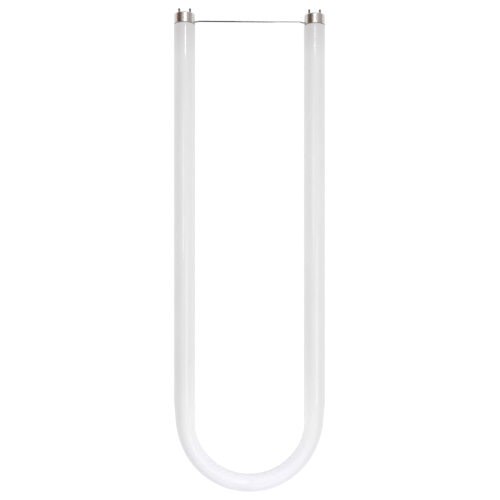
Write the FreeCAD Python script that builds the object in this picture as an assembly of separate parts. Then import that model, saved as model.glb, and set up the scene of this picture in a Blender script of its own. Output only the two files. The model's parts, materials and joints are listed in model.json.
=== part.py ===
import FreeCAD, Part
import math
import os

# U-bend fluorescent lamp with two medium bi-pin bases, lying flat. All sizes are in mm.
# The legs run along Y with the pins towards +Y. Z is up and the glass rests on z = 0.
# Shapes at an end of the lamp are drawn round the Y axis with the rim of the base at y = 0.

# Glass tube
leg_spacing = 152.4
tube_diameter = 24.6
glass_wall = 0.8
straight_length = 461.75
bend_diameter = 20.5
bend_inset = 0.8
thinning_lead = 24.0
thinning_angle = 22.0
neck_inset = 2.2
shoulder_radius = 1.15
shoulder_top = 0.65
stem_bore = 8.4
stem_depth = 16.0
press_thickness = 4.0
exhaust_diameter = 3.5
neck_to_disc = 3.0
exhaust_to_disc = 1.6

# Brace wire, with its ends bent down a little and welded to the sides of the bases
wire_diameter = 1.6
wire_rise = 3.7
end_length = 5.0
end_drop = 1.0
end_bend_radius = 4.0
weld_depth = 0.3

# Base shell
base_inset = 0.25
base_height = 11.9
shell_wall = 0.4
shell_edge_radius = 1.5
face_opening = 18.0

# Insulator disc
disc_thickness = 1.6
disc_rise = 0.2
opening_clearance = 0.1

# Contact pins
pin_spacing = 12.7
pin_diameter = 2.35
pin_length = 6.5
pin_shank_diameter = 2.8
pin_bore = 1.1
pin_tip_radius = 0.5
pin_head_diameter = 3.8
pin_head_thickness = 0.5
pin_bead_diameter = 3.3
pin_bead_height = 0.35

# Lead wires
lead_diameter = 0.6
lead_bend_radius = 2.0
lead_tip_depth = 0.4

# Basing cement
cement_inset = 0.8

# Radii that follow from the sizes above
tube_radius = tube_diameter / 2
bend_radius = bend_diameter / 2
neck_radius = tube_radius - neck_inset
base_radius = tube_radius - base_inset
base_bore_radius = base_radius - shell_wall
disc_radius = base_radius - shell_edge_radius
stem_radius = stem_bore / 2
exhaust_radius = exhaust_diameter / 2

# Heights along an end, from the rim of the base
wall_inner = base_height - shell_wall
disc_inner = wall_inner - disc_thickness
disc_outer = base_height + disc_rise
head_low = disc_inner - pin_head_thickness
pin_top = disc_outer + pin_length
neck_top = disc_inner - neck_to_disc
exhaust_top = disc_inner - exhaust_to_disc
stem_floor = neck_top - stem_depth
leg_foot = thinning_lead - straight_length

# Places in the lamp
leg_x = leg_spacing / 2
bend_line = leg_x - bend_inset
bend_reach = bend_line + bend_radius
overall_length = bend_reach + straight_length + pin_top
bend_y = bend_reach - overall_length / 2
rim_y = bend_y + straight_length

ORIGIN = FreeCAD.Vector(0, 0, 0)
X_AXIS = FreeCAD.Vector(1, 0, 0)
Y_AXIS = FreeCAD.Vector(0, 1, 0)
Z_AXIS = FreeCAD.Vector(0, 0, 1)
BEND_CENTRE = FreeCAD.Vector(0, bend_y, tube_radius)


def point(x, y, z=0.0):
    return FreeCAD.Vector(x, y, z)


def polar(centre, radius, degrees):
    """Point at an angle round a centre, in the XY plane."""
    turn = math.radians(degrees)
    return centre + point(radius * math.cos(turn), radius * math.sin(turn))


def line(start, end):
    return Part.makeLine(start, end)


def arc(start, middle, end):
    return Part.Arc(start, middle, end).toShape()


def polar_arc(centre, radius, first, last):
    """Arc from one angle to another round a centre, in the XY plane."""
    middle = (first + last) / 2
    return arc(polar(centre, radius, first), polar(centre, radius, middle), polar(centre, radius, last))


def joined(pieces):
    """Closed chain of edges: straight lines fill the gaps between the arcs and points given in order."""
    edges = []
    first = None
    last = None
    for piece in pieces:
        is_point = isinstance(piece, FreeCAD.Vector)
        start = piece if is_point else piece.valueAt(piece.FirstParameter)
        end = piece if is_point else piece.valueAt(piece.LastParameter)
        if last is not None and not last.isEqual(start, 1e-7):
            edges.append(line(last, start))
        if not is_point:
            edges.append(piece)
        first = start if first is None else first
        last = end
    edges.append(line(last, first))
    return edges


def turned(pieces):
    """Solid of revolution round the Y axis."""
    return Part.Face(Part.Wire(joined(pieces))).revolve(ORIGIN, Y_AXIS, 360)


def cylinder(radius, low, high):
    return Part.makeCylinder(radius, high - low, point(0, low), Y_AXIS)


def rounded_path(points, radius):
    """Straight runs through the points, with a tangent arc at each corner."""
    edges = []
    start = points[0]
    for before, corner, after in zip(points, points[1:], points[2:]):
        back = (before - corner).normalize()
        ahead = (after - corner).normalize()
        half = back.getAngle(ahead) / 2
        trim = radius / math.tan(half)
        inward = (back + ahead).normalize() * (radius / math.sin(half) - radius)
        edges.append(line(start, corner + back * trim))
        edges.append(arc(corner + back * trim, corner + inward, corner + ahead * trim))
        start = corner + ahead * trim
    edges.append(line(start, points[-1]))
    return edges


def swept(edges, diameter):
    """Round wire along a path of lines and tangent arcs."""
    path = Part.Wire(edges)
    first = edges[0]
    start = first.valueAt(first.FirstParameter)
    direction = first.tangentAt(first.FirstParameter)
    circle = Part.Wire(Part.makeCircle(diameter / 2, start, direction))
    return path.makePipeShell([circle], True, False)


def moved(shape, x, y, z):
    placed = shape.copy()
    placed.translate(point(x, y, z))
    return placed


def at_end(shape, side):
    """Copy of an end's shape on the left (-1) or right (+1) leg."""
    return moved(shape, side * leg_x, rim_y, tube_radius)


def mirrored(shape):
    return shape.mirror(ORIGIN, X_AXIS)


# Glass tube

def shoulder(depth):
    """Two tangent arcs that lead from the leg in to the neck, at a depth below the surface of the glass."""
    turn = math.degrees(math.acos(1 - neck_inset / (2 * shoulder_radius)))
    height = 2 * shoulder_radius * math.sin(math.radians(turn))
    low_centre = point(tube_radius - shoulder_radius, shoulder_top - height)
    high_centre = point(neck_radius + shoulder_radius, shoulder_top)
    outward = polar_arc(low_centre, shoulder_radius - depth, 0, turn)
    inward = polar_arc(high_centre, shoulder_radius + depth, 180 + turn, 180)
    return [outward, inward]


def flare(mouth_radius, throat_radius, top):
    """Quarter arc that leads from the rim of the neck down into the stem."""
    radius = mouth_radius - throat_radius
    return polar_arc(point(mouth_radius, top - radius), radius, 90, 180)


def leg_outside():
    """Leg with its shoulder and neck, the funnel of the stem and the sealed exhaust tube."""
    rim_radius = neck_radius - glass_wall
    outline = [point(0, leg_foot), point(tube_radius, leg_foot)]
    outline += shoulder(0)
    outline.append(polar_arc(point(rim_radius, neck_top - glass_wall), glass_wall, 0, 90))
    outline.append(flare(rim_radius, stem_radius, neck_top))
    outline.append(point(stem_radius, stem_floor))
    outline.append(point(exhaust_radius, stem_floor))
    outline.append(polar_arc(point(0, exhaust_top - exhaust_radius), exhaust_radius, 0, 90))
    return turned(outline)


def leg_inside():
    """Space inside a leg, one wall in from its outside."""
    bore_radius = tube_radius - glass_wall
    rim_radius = neck_radius - glass_wall
    stem_outside = stem_radius + glass_wall
    outline = [point(0, leg_foot), point(bore_radius, leg_foot)]
    outline += shoulder(glass_wall)
    outline.append(flare(rim_radius, stem_outside, neck_top - glass_wall))
    outline.append(point(stem_outside, stem_floor - press_thickness))
    outline.append(point(0, stem_floor - press_thickness))
    return turned(outline)


def ease(share):
    """Smooth step from 0 to 1."""
    return share * share * (3 - 2 * share)


def leg_section(lead, radius):
    """Circle square to the right leg, this far before its bend, easing over to the bend's centre line."""
    x = leg_x - bend_inset * ease(1 - lead / thinning_lead)
    return Part.Wire(Part.makeCircle(radius, point(x, bend_y + lead, tube_radius), -Y_AXIS))


def bend_section(degrees, radius):
    """Circle square to the centre line of the bend, at an angle from the right leg."""
    along = polar(ORIGIN, 1, -degrees - 90)
    return Part.Wire(Part.makeCircle(radius, polar(BEND_CENTRE, bend_line, -degrees), along))


def thinning(wide, narrow):
    """Stretch from the leg into the bend, where the tube draws down smoothly to its thinner section."""
    sections = []
    length = thinning_lead + bend_line * math.radians(thinning_angle)
    steps = 10
    for step in range(steps + 1):
        share = step / steps
        radius = wide + (narrow - wide) * ease(share)
        travel = share * length - thinning_lead
        if travel < 0:
            sections.append(leg_section(-travel, radius))
        else:
            sections.append(bend_section(math.degrees(travel / bend_line), radius))
    return Part.makeLoft(sections, True, False)


def u_shape(leg, wide, narrow):
    """Two legs and the bend between them as one solid."""
    start = Part.Face(bend_section(thinning_angle, narrow))
    middle = start.revolve(BEND_CENTRE, Z_AXIS, 2 * thinning_angle - 180)
    right = thinning(wide, narrow)
    return middle.fuse([right, mirrored(right), at_end(leg, 1), at_end(leg, -1)]).Solids[0]


def glass_tube():
    outside = u_shape(leg_outside(), tube_radius, bend_radius)
    inside = u_shape(leg_inside(), tube_radius - glass_wall, bend_radius - glass_wall)
    return outside.cut(inside).Solids[0]


# Brace wire

def brace_wire():
    """Straight wire between the bases, each end bent down a little and fitted to the side of a base."""
    side_x = leg_x - base_radius
    end = point(side_x + weld_depth, wire_rise - end_drop)
    route = [point(0, wire_rise), point(side_x - end_length, wire_rise), end]
    bent = swept(rounded_path(route, end_bend_radius), wire_diameter)
    base = moved(cylinder(base_radius, 0, base_height), leg_x, 0, 0)
    half = bent.cut(base)
    whole = half.fuse(mirrored(half)).removeSplitter().Solids[0]
    return moved(whole, 0, rim_y, tube_radius)


# Bases

def base_shell():
    """Drawn cup with a rounded edge and an opening in its end wall."""
    edge_centre = point(base_radius - shell_edge_radius, base_height - shell_edge_radius)
    opening_radius = face_opening / 2
    outline = [point(base_bore_radius, 0), point(base_radius, 0)]
    outline.append(polar_arc(edge_centre, shell_edge_radius, 0, 90))
    outline.append(point(opening_radius, base_height))
    outline.append(point(opening_radius, wall_inner))
    outline.append(polar_arc(edge_centre, shell_edge_radius - shell_wall, 90, 0))
    return turned(outline)


def insulator_disc():
    """Disc behind the end wall, its middle standing out through the opening."""
    island_radius = face_opening / 2 - opening_clearance
    plate = cylinder(disc_radius, disc_inner, wall_inner)
    disc = plate.fuse(cylinder(island_radius, disc_inner, disc_outer)).removeSplitter()
    hole = cylinder(pin_shank_diameter / 2, disc_inner, disc_outer)
    holes = [moved(hole, side * pin_spacing / 2, 0, 0) for side in (-1, 1)]
    return disc.cut(holes).Solids[0]


def contact_pin():
    """Hollow pin with a shank in the disc, a head behind it, a bead in front of it and a rounded tip."""
    pin_radius = pin_diameter / 2
    shank_radius = pin_shank_diameter / 2
    bore_radius = pin_bore / 2
    outline = [point(bore_radius, head_low), point(pin_head_diameter / 2, head_low)]
    outline.append(point(pin_head_diameter / 2, disc_inner))
    outline.append(point(shank_radius, disc_inner))
    outline.append(point(shank_radius, disc_outer))
    outline.append(point(pin_bead_diameter / 2, disc_outer))
    outline.append(point(pin_radius, disc_outer + pin_bead_height))
    tip_centre = point(pin_radius - pin_tip_radius, pin_top - pin_tip_radius)
    outline.append(polar_arc(tip_centre, pin_tip_radius, 0, 90))
    outline.append(point(bore_radius, pin_top))
    return turned(outline)


def basing_cement():
    """Ring between the shell and the neck of the glass."""
    low = cement_inset
    high = neck_top - glass_wall - cement_inset
    return cylinder(base_bore_radius, low, high).cut(cylinder(neck_radius, low, high)).Solids[0]


def lead_wire():
    """Wire from the floor of the stem that bends out and runs up inside a pin."""
    root_x = (stem_radius + exhaust_radius) / 2
    pin_x = pin_spacing / 2
    throat = neck_top - (neck_radius - glass_wall - stem_radius)
    tip = pin_top - lead_tip_depth
    route = [point(root_x, stem_floor), point(root_x, throat), point(pin_x, head_low), point(pin_x, tip)]
    return swept(rounded_path(route, lead_bend_radius), lead_diameter)


def save(shape, name):
    shape.exportStep("parts/" + name + ".step")


def save_end(side, side_name):
    """The pieces of the base on one leg."""
    save(at_end(base_shell(), side), "base_shell_" + side_name)
    save(at_end(insulator_disc(), side), "insulator_disc_" + side_name)
    save(at_end(basing_cement(), side), "basing_cement_" + side_name)
    pin = moved(contact_pin(), pin_spacing / 2, 0, 0)
    lead = lead_wire()
    for pin_side in (-1, 1):
        place = side_name + ("_outer" if pin_side == side else "_inner")
        save(at_end(pin if pin_side == 1 else mirrored(pin), side), "contact_pin_" + place)
        save(at_end(lead if pin_side == 1 else mirrored(lead), side), "lead_wire_" + place)


def main():
    os.makedirs("parts", exist_ok=True)
    save(glass_tube(), "glass_tube")
    save(brace_wire(), "brace_wire")
    save_end(-1, "left")
    save_end(1, "right")


main()
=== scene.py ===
import bmesh
import bpy
import json
import math
from mathutils import Matrix, Vector


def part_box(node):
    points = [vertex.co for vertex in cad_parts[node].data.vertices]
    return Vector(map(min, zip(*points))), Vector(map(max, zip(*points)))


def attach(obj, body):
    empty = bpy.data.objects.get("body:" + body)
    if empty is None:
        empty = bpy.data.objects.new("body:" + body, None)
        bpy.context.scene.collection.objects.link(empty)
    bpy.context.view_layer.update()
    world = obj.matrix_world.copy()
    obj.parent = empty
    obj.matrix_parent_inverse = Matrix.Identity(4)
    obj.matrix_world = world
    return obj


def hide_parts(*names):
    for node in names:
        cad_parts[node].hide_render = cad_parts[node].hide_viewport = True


# U-bend fluorescent lamp lying on a pale floor, seen from above. Lengths are in metres.

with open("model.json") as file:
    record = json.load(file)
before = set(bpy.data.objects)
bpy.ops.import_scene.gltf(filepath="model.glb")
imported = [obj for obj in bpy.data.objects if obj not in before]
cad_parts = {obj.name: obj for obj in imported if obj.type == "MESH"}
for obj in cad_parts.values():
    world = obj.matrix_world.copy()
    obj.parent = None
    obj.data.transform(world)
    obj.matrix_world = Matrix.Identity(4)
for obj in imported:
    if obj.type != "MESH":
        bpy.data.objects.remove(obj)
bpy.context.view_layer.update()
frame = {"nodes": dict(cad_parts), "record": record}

# Places read from the frame
glass_low, glass_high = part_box("glass_tube")
shell_low, shell_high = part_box("base_shell_right")
pin_low, pin_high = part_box("contact_pin_right_outer")
disc_low, disc_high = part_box("insulator_disc_right")
tube_radius = (glass_high.z - glass_low.z) / 2
axis_height = glass_low.z + tube_radius
leg_x = glass_high.x - tube_radius
rim_y = shell_low.y
base_height = shell_high.y - rim_y
base_radius = (shell_high.x - shell_low.x) / 2
pin_x = (pin_low.x + pin_high.x) / 2 - leg_x
pin_top = pin_high.y - rim_y
head_low = pin_low.y - rim_y
head_radius = (pin_high.x - pin_low.x) / 2
disc_inner = disc_low.y - rim_y
disc_outer = disc_high.y - rim_y

# Glass tube
bend_radius = 0.01025
bend_inset = 0.0008
thinning_lead = 0.024
thinning_angle = math.radians(22)
glass_wall = 0.0008
neck_radius = 0.0101
neck_to_disc = 0.003
shoulder_radius = 0.00115
shoulder_top = 0.00065
stem_radius = 0.0042
stem_depth = 0.016
exhaust_radius = 0.00175
exhaust_to_disc = 0.0016

# Brace wire
wire_radius = 0.0008
wire_rise = 0.0037
end_length = 0.005
end_drop = 0.001
end_bend_radius = 0.004
weld_depth = 0.0003

# Base shell and pins
shell_wall = 0.0004
shell_edge_radius = 0.0015
face_opening_radius = 0.009
pin_radius = 0.001175
pin_bore_radius = 0.00055
pin_shank_radius = 0.0014
pin_tip_radius = 0.0005
pin_head_thickness = 0.0005
pin_bead_radius = 0.00165
pin_bead_height = 0.00035
cut_edge_radius = 0.00008

# Places that follow from the sizes above
bend_line = leg_x - bend_inset
bend_y = glass_low.y + bend_radius + bend_line
leg_foot = bend_y + thinning_lead - rim_y
neck_top = disc_inner - neck_to_disc
exhaust_top = disc_inner - exhaust_to_disc
stem_floor = neck_top - stem_depth
side_x = leg_x - base_radius

# Fineness of the meshes
glass_segments = 96
metal_segments = 96
wire_segments = 20
corner_steps = 6
leg_step = 0.008
bend_step = 0.002

Y_AXIS = Vector((0, 1, 0))

slot_colour = {entry["slot"]: entry["base_color"][:3] for entry in frame["record"]["materials"]}


# Meshes made of rings

def ring_skin(name, rings, segments):
    """Skin through rings, each given as its centre, the direction square to it and its radius.

    The attribute unbent holds each point's place on the piece as if it were straight, from its middle.
    """
    travel = 0
    travels = []
    last = rings[0][0]
    for centre, along, radius in rings:
        travel += (centre - last).dot(along)
        travels.append(travel)
        last = centre
    side = rings[0][1].orthogonal()
    points = []
    unbent = []
    for (centre, along, radius), travelled in zip(rings, travels):
        side = (side - along * side.dot(along)).normalized()
        across = along.cross(side)
        for segment in range(segments):
            turn = 2 * math.pi * segment / segments
            reach = Vector((math.cos(turn), math.sin(turn))) * radius
            points.append(centre + side * reach.x + across * reach.y)
            unbent.append((reach.x, reach.y, travelled - travel / 2))
    faces = []
    for ring in range(len(rings) - 1):
        for segment in range(segments):
            start = ring * segments
            corner = start + segment
            beside = start + (segment + 1) % segments
            faces.append((corner, beside, beside + segments, corner + segments))
    return finished_mesh(name, points, unbent, faces)


def finished_mesh(name, points, unbent, faces):
    """Mesh object with welded seams, outward normals and smooth faces between its sharp edges."""
    weld_distance = 1e-7
    sharp_angle = math.radians(40)
    mesh = bpy.data.meshes.new(name)
    mesh.from_pydata(points, [], faces)
    attribute = mesh.attributes.new("unbent", "FLOAT_VECTOR", "POINT")
    attribute.data.foreach_set("vector", [value for place in unbent for value in place])
    work = bmesh.new()
    work.from_mesh(mesh)
    bmesh.ops.remove_doubles(work, verts=work.verts, dist=weld_distance)
    bmesh.ops.recalc_face_normals(work, faces=work.faces)
    work.to_mesh(mesh)
    work.free()
    mesh.shade_smooth()
    mesh.set_sharp_from_angle(angle=sharp_angle)
    piece = bpy.data.objects.new(name, mesh)
    bpy.context.scene.collection.objects.link(piece)
    return piece


def rounded(corners):
    """Outline through corners given as two coordinates and the radius that rounds the corner."""
    outline = []
    befores = corners[-1:] + corners[:-1]
    afters = corners[1:] + corners[:1]
    for before, corner, after in zip(befores, corners, afters):
        tip = Vector(corner[:2])
        radius = corner[2]
        if radius == 0:
            outline.append(tip)
            continue
        back = (Vector(before[:2]) - tip).normalized()
        ahead = (Vector(after[:2]) - tip).normalized()
        half = back.angle(ahead) / 2
        centre = tip + (back + ahead).normalized() * radius / math.sin(half)
        start = tip + back * radius / math.tan(half) - centre
        end = tip + ahead * radius / math.tan(half) - centre
        for step in range(corner_steps + 1):
            outline.append(centre + start.lerp(end, step / corner_steps).normalized() * radius)
    return outline


def turned(name, outline, x):
    """Piece turned round a line along Y. The outline holds heights above the base's rim, and radii."""
    rings = [(Vector((x, rim_y + height, axis_height)), Y_AXIS, radius) for height, radius in outline]
    piece = ring_skin(name, rings, metal_segments)
    piece.modifiers.new("even_shading", "WEIGHTED_NORMAL").keep_sharp = True
    return piece


def mirrored(rings):
    """The same rings on the left half, in reverse order, so that the two halves run on."""
    half = []
    for centre, along, radius in reversed(rings):
        opposite = Vector((-centre.x, centre.y, centre.z))
        half.append((opposite, Vector((along.x, -along.y, -along.z)), radius))
    return half


def ease(share):
    """Smooth step from 0 to 1."""
    return share * share * (3 - 2 * share)


# Glass tube

def leg_end():
    """Outline of the right leg from its exhaust tip, by stem, neck and shoulder, to its foot."""
    turn = math.acos(1 - (tube_radius - neck_radius) / (2 * shoulder_radius))
    rise = 2 * shoulder_radius * math.sin(turn)
    trim = shoulder_radius * math.tan(turn / 2)
    flare_radius = neck_radius - glass_wall - stem_radius
    return rounded([
        (exhaust_top, 0, 0),
        (exhaust_top, exhaust_radius, exhaust_radius),
        (stem_floor, exhaust_radius, 0),
        (stem_floor, stem_radius, 0),
        (neck_top, stem_radius, flare_radius),
        (neck_top, neck_radius, glass_wall),
        (shoulder_top - trim, neck_radius, shoulder_radius),
        (shoulder_top - rise + trim, tube_radius, shoulder_radius),
        (leg_foot, tube_radius, 0),
    ])


def straight_leg(top):
    """Heights between the shoulder and the foot of the leg."""
    count = round((top - leg_foot) / leg_step)
    return [(top + (leg_foot - top) * step / count, tube_radius) for step in range(1, count)]


def half_bend():
    """Rings from the foot of the right leg to the middle of the bend, where the tube is thinner."""
    length = thinning_lead + bend_line * math.pi / 2
    thinning = thinning_lead + bend_line * thinning_angle
    count = round(length / bend_step)
    rings = []
    for step in range(count + 1):
        travel = length * step / count - thinning_lead
        share = min((travel + thinning_lead) / thinning, 1)
        radius = tube_radius + (bend_radius - tube_radius) * ease(share)
        if travel < 0:
            x = leg_x - bend_inset * ease(1 + travel / thinning_lead)
            rings.append((Vector((x, bend_y - travel, axis_height)), -Y_AXIS, radius))
            continue
        turn = travel / bend_line
        outward = Vector((math.cos(turn), -math.sin(turn), 0))
        along = Vector((-math.sin(turn), -math.cos(turn), 0))
        rings.append((Vector((0, bend_y, axis_height)) + outward * bend_line, along, radius))
    return rings


def glass_tube():
    """The whole tube from tip to tip. The foot of a leg is left to the first ring of its bend."""
    outline = leg_end()[:-1]
    outline += straight_leg(outline[-1][0])
    half = []
    for height, radius in outline:
        half.append((Vector((leg_x, rim_y + height, axis_height)), -Y_AXIS, radius))
    half += half_bend()
    return ring_skin("bent_glass_tube", half + mirrored(half)[1:], glass_segments)


# Brace wire

def half_wire():
    """Points from the middle of the wire to its right end, bent down a little and run into the base."""
    straight_points = 16
    bend_x = side_x - end_length
    run = [(bend_x * step / straight_points, wire_rise, 0) for step in range(straight_points)]
    run.append((bend_x, wire_rise, end_bend_radius))
    run.append((side_x + weld_depth, wire_rise - end_drop, 0))
    return [Vector((x, rim_y + y, axis_height)) for x, y in rounded(run)]


def fitted(piece):
    """Moves the points of a wire that would lie inside a base out to the side of that base."""
    for vertex in piece.data.vertices:
        side = math.copysign(1, vertex.co.x)
        reach = Vector((vertex.co.x - side * leg_x, vertex.co.z - axis_height))
        if reach.length < base_radius:
            reach = reach.normalized() * base_radius
            vertex.co.x = side * leg_x + reach.x
            vertex.co.z = axis_height + reach.y
    return piece


def brace_wire():
    """Round wire from base to base, with closed ends."""
    right = half_wire()
    left = [Vector((-point.x, point.y, point.z)) for point in reversed(right[1:])]
    points = left + right
    befores = points[:1] + points[:-1]
    afters = points[1:] + points[-1:]
    rings = []
    for before, point, after in zip(befores, points, afters):
        rings.append((point, (after - before).normalized(), wire_radius))
    rings.insert(0, (*rings[0][:2], 0))
    rings.append((*rings[-1][:2], 0))
    return fitted(ring_skin("drawn_brace_wire", rings, wire_segments))


# Bases

def base_shell(side, side_name):
    """Drawn cup with a rounded edge and an opening in its end wall."""
    bore_radius = base_radius - shell_wall
    wall_inner = base_height - shell_wall
    outline = rounded([
        (0, bore_radius, cut_edge_radius),
        (0, base_radius, cut_edge_radius),
        (base_height, base_radius, shell_edge_radius),
        (base_height, face_opening_radius, cut_edge_radius),
        (wall_inner, face_opening_radius, cut_edge_radius),
        (wall_inner, bore_radius, shell_edge_radius - shell_wall),
    ])
    return turned("drawn_shell_" + side_name, outline + outline[:1], side * leg_x)


def contact_pin(x, place):
    """Hollow pin with a head behind the disc, a bead in front of it and a rounded tip."""
    outline = rounded([
        (head_low, pin_bore_radius, 0),
        (head_low, head_radius, cut_edge_radius),
        (head_low + pin_head_thickness, head_radius, cut_edge_radius),
        (disc_inner, pin_shank_radius, 0),
        (disc_outer, pin_shank_radius, 0),
        (disc_outer, pin_bead_radius, cut_edge_radius),
        (disc_outer + pin_bead_height, pin_radius, cut_edge_radius),
        (pin_top, pin_radius, pin_tip_radius),
        (pin_top, pin_bore_radius, 0),
    ])
    return turned("turned_pin_" + place, outline + outline[:1], x)


# Material nodes

def new_material(name):
    material = bpy.data.materials.new(name)
    material.use_nodes = True
    return material


def shader_of(material):
    return material.node_tree.nodes["Principled BSDF"]


def node(material, kind, settings, inputs):
    """New node with its settings, and inputs by name or number: a socket is linked, a value is set."""
    made = material.node_tree.nodes.new(kind)
    for name, value in settings.items():
        setattr(made, name, value)
    for name, value in inputs.items():
        if isinstance(value, bpy.types.NodeSocket):
            material.node_tree.links.new(value, made.inputs[name])
        else:
            made.inputs[name].default_value = value
    return made


def unbent_place(material):
    return node(material, "ShaderNodeAttribute", {"attribute_name": "unbent"}, {}).outputs["Vector"]


def object_place(material):
    return node(material, "ShaderNodeTexCoord", {}, {}).outputs["Object"]


def noise(material, place, scale, detail):
    """Noise with its own scale along each axis."""
    spread = node(material, "ShaderNodeVectorMath", {"operation": "MULTIPLY"}, {0: place, 1: scale})
    inputs = {"Vector": spread.outputs[0], "Scale": 1.0, "Detail": detail}
    return node(material, "ShaderNodeTexNoise", {}, inputs).outputs["Fac"]


def spread_out(material, value, low, high, to_low, to_high):
    """Smooth change from one number to another as a value goes from low to high."""
    inputs = {"Value": value, "From Min": low, "From Max": high, "To Min": to_low, "To Max": to_high}
    made = node(material, "ShaderNodeMapRange", {"interpolation_type": "SMOOTHSTEP"}, inputs)
    return made.outputs["Result"]


def blend(material, share, first, second, kind="MIX"):
    """Colour between the first and the second, or between the first and what the blend makes of both."""
    made = node(material, "ShaderNodeMix", {"data_type": "RGBA", "blend_type": kind}, {"Factor": share})
    for socket, colour in ((made.inputs[6], first), (made.inputs[7], second)):
        if isinstance(colour, bpy.types.NodeSocket):
            material.node_tree.links.new(colour, socket)
        else:
            socket.default_value = (*colour, 1)
    return made.outputs[2]


def larger(material, first, second):
    return node(material, "ShaderNodeMath", {"operation": "MAXIMUM"}, {0: first, 1: second}).outputs[0]


def mixed_shader(material, share, first, second):
    """Mix of the shaders of two nodes, all of it the second where the share is 1."""
    inputs = {0: share, 1: first.outputs[0], 2: second.outputs[0]}
    return node(material, "ShaderNodeMixShader", {}, inputs)


def bump(material, height, distance, under=None):
    """Bump of a height in metres, on top of another bump if one is given."""
    inputs = {"Height": height, "Distance": distance, "Strength": 1.0}
    if under is not None:
        inputs["Normal"] = under
    return node(material, "ShaderNodeBump", {}, inputs).outputs["Normal"]


def shaded(colour, share):
    return [value * share for value in colour]


def tinted(colour, tint):
    return [value * share for value, share in zip(colour, tint)]


def link(material, output, name):
    material.node_tree.links.new(output, shader_of(material).inputs[name])


# Materials

def coated_glass():
    """Glossy glass over a powder coat: clouds, a fine grain, greyer ends, drawn lines, and a bluer tint
    towards the middle of the bend that is painted light.
    """
    half_bend_length = math.pi / 2 * bend_line
    half_length = half_bend_length + rim_y - bend_y
    # Painted light: the coat turns bluer from here towards the middle of the bend, standing in for cooler
    # light falling there.
    cool_light_start = half_bend_length * 0.45
    cool_light_end = half_bend_length * 0.85
    grey_reach = 0.045
    white = tinted(slot_colour["coated_glass"], (1.0, 1.0, 0.99))
    # Painted light: a bluer white for the bend, in place of the light's own colour.
    painted_cool_light = tinted(white, (0.999, 0.987, 1.03))
    grey = tinted(white, (0.865, 0.845, 0.843))
    cloud_shade = (0.975, 0.975, 0.975)
    grain_shade = (0.96, 0.96, 0.96)
    grain_strength = 0.35
    smoothest = 0.09
    roughest = 0.12
    wave_height = 3e-6
    line_height = 2e-6
    material = new_material("coated_glass")
    place = unbent_place(material)
    clouds = noise(material, place, (70, 70, 14), 3)
    grain = noise(material, place, (2600, 2600, 2600), 2)
    waves = noise(material, place, (45, 45, 8), 1)
    lines = noise(material, place, (900, 900, 4), 2)
    along = node(material, "ShaderNodeSeparateXYZ", {}, {0: place}).outputs["Z"]
    from_middle = node(material, "ShaderNodeMath", {"operation": "ABSOLUTE"}, {0: along}).outputs[0]
    ends = spread_out(material, from_middle, half_length - grey_reach, half_length, 0, 1)
    # Share of the painted cool light, full at the middle of the bend.
    middle = spread_out(material, from_middle, cool_light_start, cool_light_end, 1, 0)
    tone_with_painted_light = blend(material, middle, white, painted_cool_light)
    cloudy = spread_out(material, clouds, 0.3, 0.7, 1, 0)
    coat = blend(material, cloudy, tone_with_painted_light, cloud_shade, "MULTIPLY")
    grainy = spread_out(material, grain, 0.35, 0.65, 0, grain_strength)
    powder = blend(material, grainy, coat, grain_shade, "MULTIPLY")
    link(material, blend(material, ends, powder, grey), "Base Color")
    link(material, spread_out(material, clouds, 0.2, 0.8, smoothest, roughest), "Roughness")
    wavy = bump(material, waves, wave_height)
    link(material, bump(material, lines, line_height, wavy), "Normal")
    shader_of(material).inputs["IOR"].default_value = 1.5
    return material


def drawn_metal(slot, fine, smoothest, roughest, dull_shade, dull_start=0.45):
    """Drawn metal: lines along the draw, duller patches and small marks."""
    dull_width = 0.3
    line_height = 2e-6
    mark_height = 1.5e-6
    colour = slot_colour[slot]
    material = new_material(slot)
    place = unbent_place(material)
    patches = noise(material, place, (220, 220, 220), 4)
    lines = noise(material, place, (fine, fine, fine / 40), 3)
    marks = noise(material, place, (fine / 5, fine / 5, fine), 2)
    dull = spread_out(material, patches, dull_start, dull_start + dull_width, 0, 1)
    link(material, blend(material, dull, colour, shaded(colour, dull_shade)), "Base Color")
    link(material, spread_out(material, lines, 0.3, 0.7, smoothest, roughest), "Roughness")
    scratches = bump(material, spread_out(material, marks, 0.62, 0.7, 0, 1), mark_height)
    link(material, bump(material, lines, line_height, scratches), "Normal")
    shader_of(material).inputs["Metallic"].default_value = 1.0
    return material


def grained(slot, scale, light_shade, smoothest, roughest, depth):
    """Dull pressed or cast stuff with grains of a lighter shade."""
    colour = slot_colour[slot]
    material = new_material(slot)
    grains = noise(material, object_place(material), (scale, scale, scale), 5)
    specks = spread_out(material, grains, 0.52, 0.68, 0, 1)
    link(material, blend(material, specks, colour, shaded(colour, light_shade)), "Base Color")
    link(material, spread_out(material, grains, 0.3, 0.7, smoothest, roughest), "Roughness")
    link(material, bump(material, grains, depth), "Normal")
    return material


def lead_metal():
    """Drawn wire with darker spots."""
    spot_shade = 0.6
    smoothest = 0.25
    roughest = 0.45
    colour = slot_colour["lead_metal"]
    material = new_material("lead_metal")
    spots = noise(material, object_place(material), (900, 300, 900), 3)
    dark = spread_out(material, spots, 0.45, 0.7, 0, 1)
    link(material, blend(material, dark, colour, shaded(colour, spot_shade)), "Base Color")
    link(material, spread_out(material, spots, 0.3, 0.7, smoothest, roughest), "Roughness")
    shader_of(material).inputs["Metallic"].default_value = 1.0
    return material


# Pieces in place

def dress(piece, material, node_name):
    """Gives a new piece its material, body and slot, and puts it in the place of a node."""
    piece.data.materials.append(material)
    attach(piece, "root")
    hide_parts(node_name)


def dress_node(node_name, material):
    """Gives a node that stays as it is its material."""
    mesh = frame["nodes"][node_name].data
    mesh.materials.clear()
    mesh.materials.append(material)


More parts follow.
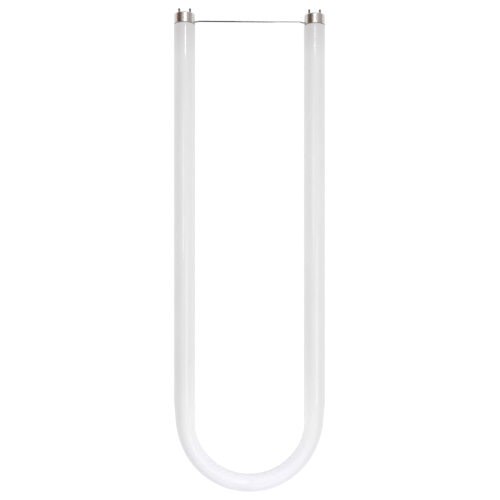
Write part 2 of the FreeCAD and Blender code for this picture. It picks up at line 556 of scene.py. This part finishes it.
def build_lamp():
    """All pieces of the lamp, with their materials."""
    shell_metal = drawn_metal("base_aluminium", fine=1600, smoothest=0.24, roughest=0.32, dull_shade=0.9)
    pin_metal = drawn_metal("pin_brass", fine=2500, smoothest=0.28, roughest=0.42, dull_shade=0.25,
                            dull_start=0.25)
    wire_metal = drawn_metal("steel_wire", fine=4000, smoothest=0.05, roughest=0.09, dull_shade=0.7,
                             dull_start=0.15)
    phenolic = grained("insulator", scale=1500, light_shade=1.7, smoothest=0.4, roughest=0.6, depth=2e-5)
    cement = grained("cement", scale=1100, light_shade=1.25, smoothest=0.8, roughest=0.95, depth=8e-5)
    lead = lead_metal()
    dress(glass_tube(), coated_glass(), "glass_tube")
    dress(brace_wire(), wire_metal, "brace_wire")
    for side, side_name in ((-1, "left"), (1, "right")):
        dress(base_shell(side, side_name), shell_metal, "base_shell_" + side_name)
        dress_node("insulator_disc_" + side_name, phenolic)
        dress_node("basing_cement_" + side_name, cement)
        for pin_side in (-1, 1):
            place = side_name + ("_outer" if pin_side == side else "_inner")
            pin = contact_pin(side * leg_x + pin_side * pin_x, place)
            dress(pin, pin_metal, "contact_pin_" + place)
            dress_node("lead_wire_" + place, lead)


# Floor, light and camera

def floor():
    """Pale floor that shows as white with the lamp's soft shadow, to the eye and in reflections."""
    half = 4.0
    corners = [(-half, -half, 0), (half, -half, 0), (half, half, 0), (-half, half, 0)]
    mesh = bpy.data.meshes.new("floor")
    mesh.from_pydata(corners, [], [(0, 1, 2, 3)])
    plane = bpy.data.objects.new("floor", mesh)
    bpy.context.scene.collection.objects.link(plane)
    mesh.materials.append(floor_paint())


def floor_paint():
    """Pale paint. To the eye and in reflections, a glow brings it up to white where no shadow falls."""
    pale = (0.8, 0.8, 0.8, 1)
    shadow_depth = (0.2, 0.2, 0.2, 1)
    glow = 0.87
    material = new_material("floor")
    rays = node(material, "ShaderNodeLightPath", {}, {}).outputs
    seen = larger(material, rays["Is Camera Ray"], rays["Is Glossy Ray"])
    seen = larger(material, seen, rays["Is Transmission Ray"])
    paint = node(material, "ShaderNodeBsdfDiffuse", {}, {"Color": pale})
    shadow = node(material, "ShaderNodeBsdfDiffuse", {}, {"Color": shadow_depth})
    white = node(material, "ShaderNodeEmission", {}, {"Strength": glow})
    bright = node(material, "ShaderNodeAddShader", {}, {0: shadow.outputs[0], 1: white.outputs[0]})
    surface = mixed_shader(material, seen, paint, bright)
    output = material.node_tree.nodes["Material Output"]
    material.node_tree.links.new(surface.outputs[0], output.inputs["Surface"])
    return material


def reflected_room(world, direction):
    """Room that shows in reflections: brown on the left, white overhead, grey on the right.

    A narrow dark band runs overhead. The bright one beside it is held down to white, apart from the
    stretch that the bases show. The far end is plain.
    """
    white = (1, 1, 1)
    far_colour = (0.85, 0.84, 0.84)
    # Where each change starts and ends, as the Y of a direction
    band_start = (0.22, 0.295)
    band_end = (0.36, 0.42)
    far_end = (0.75, 0.93)
    # Places from the left (0) to the right (1), with their colours
    room = (
        (0.00, (0.29, 0.15, 0.08)),
        (0.08, (0.20, 0.095, 0.05)),
        (0.15, (0.10, 0.035, 0.02)),
        (0.21, (0.22, 0.165, 0.15)),
        (0.30, (0.56, 0.52, 0.51)),
        (0.40, (1.0, 0.98, 0.97)),
        (0.458, (1.0, 0.98, 0.97)),
        (0.472, (0.03, 0.03, 0.03)),
        (0.505, (0.04, 0.04, 0.04)),
        (0.514, (0.15, 0.15, 0.15)),
        (0.526, (1.2, 1.2, 1.2)),
        (0.54, (4.8, 4.8, 4.8)),
        (0.558, (6.0, 6.0, 6.0)),
        (0.575, (1.0, 0.98, 0.97)),
        (0.67, (1.0, 0.97, 0.96)),
        (0.76, (0.75, 0.69, 0.67)),
        (0.84, (0.57, 0.50, 0.475)),
        (1.00, (0.53, 0.46, 0.44)),
    )
    axes = node(world, "ShaderNodeSeparateXYZ", {}, {0: direction}).outputs
    limits = {"Value": axes["X"], "From Min": -1.0, "From Max": 1.0}
    across = node(world, "ShaderNodeMapRange", {}, limits).outputs[0]
    ramp = node(world, "ShaderNodeValToRGB", {}, {"Fac": across})
    stops = ramp.color_ramp.elements
    for stop, (position, colour) in zip(stops, (room[0], room[-1])):
        stop.position = position
        stop.color = (*colour, 1)
    for position, colour in room[1:-1]:
        stops.new(position).color = (*colour, 1)
    before_band = spread_out(world, axes["Y"], *band_start, 1, 0)
    past_band = spread_out(world, axes["Y"], *band_end, 0, 1)
    far = spread_out(world, axes["Y"], *far_end, 0, 1)
    shown = blend(world, before_band, ramp.outputs["Color"], white, "DARKEN")
    shown = blend(world, past_band, shown, white, "DARKEN")
    shown = blend(world, far, shown, far_colour)
    return node(world, "ShaderNodeBackground", {}, {"Color": shown})


def soft_dome(world, direction):
    """White light from all round, a little stronger from the right and the bend, weaker from above."""
    level = 1.0
    tilt = (0.07, -0.08, -0.2)
    tilted = node(world, "ShaderNodeVectorMath", {"operation": "DOT_PRODUCT"}, {0: direction, 1: tilt})
    strength = node(world, "ShaderNodeMath", {"operation": "ADD"}, {0: tilted.outputs["Value"], 1: level})
    dome = world.node_tree.nodes["Background"]
    dome.inputs["Color"].default_value = (1, 1, 1, 1)
    world.node_tree.links.new(strength.outputs[0], dome.inputs["Strength"])
    return dome


def surroundings():
    """Soft light for the surfaces, a room for their reflections and plain white for the camera."""
    world = bpy.data.worlds.new("surroundings")
    bpy.context.scene.world = world
    world.use_nodes = True
    world.cycles.sampling_method = "NONE"
    direction = node(world, "ShaderNodeTexCoord", {}, {}).outputs["Generated"]
    rays = node(world, "ShaderNodeLightPath", {}, {}).outputs
    dome = soft_dome(world, direction)
    room = reflected_room(world, direction)
    backdrop = node(world, "ShaderNodeBackground", {}, {"Color": (1, 1, 1, 1)})
    mix = mixed_shader(world, rays["Is Glossy Ray"], dome, room)
    mix = mixed_shader(world, rays["Is Camera Ray"], mix, backdrop)
    world.node_tree.links.new(mix.outputs[0], world.node_tree.nodes["World Output"].inputs["Surface"])


def beam(spread, lean=0, tip=0):
    """Settings of a lamp that shows only in reflections, from angles in degrees."""
    return {
        "spread": math.radians(spread),
        "lean": math.radians(lean),
        "tip": math.radians(tip),
        "diffuse": False,
    }


def panel(name, low, high, height, brightness, spread=math.pi, lean=0, tip=0, diffuse=True, glossy=True):
    """Flat lamp over a rectangle, facing down or turned left by lean and towards the bases by tip.

    A narrow spread brightens its face by the gain, so the power is lowered by as much.
    """
    half = spread / 2
    gain = math.tan(half) / (math.tan(half) - half) if spread < math.pi else 1
    width = high[0] - low[0]
    length = high[1] - low[1]
    light = bpy.data.lights.new(name, "AREA")
    light.shape = "RECTANGLE"
    light.size = width
    light.size_y = length
    light.spread = spread
    light.energy = brightness * math.pi * width * length / gain
    lamp = bpy.data.objects.new(name, light)
    lamp.location = ((low[0] + high[0]) / 2, (low[1] + high[1]) / 2, height)
    lamp.rotation_euler = (tip, lean, 0)
    lamp.visible_camera = False
    lamp.visible_diffuse = diffuse
    lamp.visible_glossy = glossy
    bpy.context.scene.collection.objects.link(lamp)


def lights():
    """Lamps for the reflections on bases, legs and wire, and weak fills for the glass and the floor."""
    panel("strip_over_bases", (-0.008, 0.372), (0.068, 0.46), 0.55, 18.0, **beam(80, lean=12))
    panel("strip_left", (-0.32, 0.00), (-0.25, 0.42), 1.2, 10.0, **beam(40, lean=-13))
    panel("soft_right", (0.15, -0.36), (0.39, 0.04), 0.66, 2.1, **beam(50, lean=21, tip=10))
    panel("wire_right", (0.04, 0.02), (0.09, 0.18), 0.12, 9.0, **beam(60, tip=57))
    panel("fill_between_legs", (-0.05, -0.09), (0.05, 0.20), 0.20, 0.42, glossy=False)
    panel("fill_inside_bend", (-0.05, -0.245), (0.05, -0.195), 0.09, 1.15, glossy=False)
    panel("fill_over_bend", (-0.065, -0.335), (0.065, -0.245), 0.11, 0.26, glossy=False)
    panel("fill_right", (0.06, -0.29), (0.16, 0.12), 0.26, 0.4, glossy=False)


def camera():
    """Camera above the lamp, a little to its left, with the bases at the top of the picture."""
    distance = 0.85
    lean = math.radians(1.5)
    target = Vector((0.0003, 0.0003, axis_height))
    back = Vector((-math.sin(lean), 0, math.cos(lean)))
    data = bpy.data.cameras.new("camera")
    data.sensor_width = 36.0
    data.lens = 52.16
    eye = bpy.data.objects.new("camera", data)
    turn = Matrix((Y_AXIS.cross(back), Y_AXIS, back)).transposed()
    eye.matrix_world = Matrix.Translation(target + back * distance) @ turn.to_4x4()
    bpy.context.scene.collection.objects.link(eye)
    bpy.context.scene.camera = eye


build_lamp()
floor()
surroundings()
lights()
camera()
bpy.context.scene.view_settings.view_transform = "Standard"
